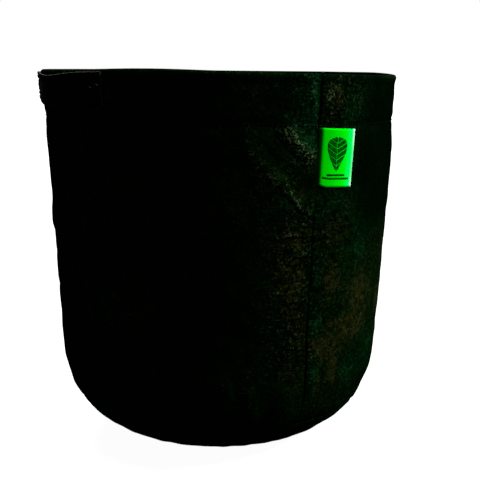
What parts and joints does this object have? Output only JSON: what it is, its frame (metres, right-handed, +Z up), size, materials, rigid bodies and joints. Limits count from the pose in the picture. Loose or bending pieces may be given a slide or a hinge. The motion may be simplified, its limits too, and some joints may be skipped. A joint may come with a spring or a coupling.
{
  "type": "fabric grow bag",
  "caption": "Round sewn felt plant pot with a folded hem, two webbing strap handles at the rim and a ribbon label in its side seam.",
  "frame": {"origin": "centre of the flat underside of the base", "axes": "+Z up through the open mouth, the side seam and its label face -Y, and the two handles are at +X and -X"},
  "size_m": [0.3046, 0.2996, 0.3082],
  "materials": {
    "felt": "matte needle-punched felt, near black with teal and brown mottling",
    "webbing": "woven strap, near black, slight sheen",
    "thread": "twisted polyester sewing thread",
    "label": "bright green satin ribbon"
  },
  "bodies": {
    "bag": {"wall_panel": "felt", "base_disc": "felt", "hem_thread_outer": "thread", "hem_thread_inner": "thread", "side_seam_thread_left": "thread", "side_seam_thread_right": "thread", "base_seam_thread_upper": "thread", "base_seam_thread_lower": "thread", "handle_left_tab_front": "webbing", "handle_left_tab_rear": "webbing", "handle_right_tab_front": "webbing", "handle_right_tab_rear": "webbing", "box_stitch_left_front": "thread", "box_stitch_left_rear": "thread", "box_stitch_right_front": "thread", "box_stitch_right_rear": "thread", "label_tail": "label"},
    "handle_left": {"handle_left_span": "webbing"},
    "handle_right": {"handle_right_span": "webbing"},
    "label": {"label_flap": "label"}
  },
  "joints": [
    {"name": "handle_left_lift", "type": "hinge", "parent": "bag", "child": "handle_left", "pos_m": [-0.144, 0, 0.308], "axis": [0, 1, 0], "range_deg": [0, 90]},
    {"name": "handle_right_lift", "type": "hinge", "parent": "bag", "child": "handle_right", "pos_m": [0.144, 0, 0.308], "axis": [0, -1, 0], "range_deg": [0, 90]},
    {"name": "label_flip", "type": "hinge", "parent": "bag", "child": "label", "pos_m": [0, -0.1486, 0.26802], "axis": [0, 0.0575, -0.9983], "range_deg": [0, 150]}
  ]
}
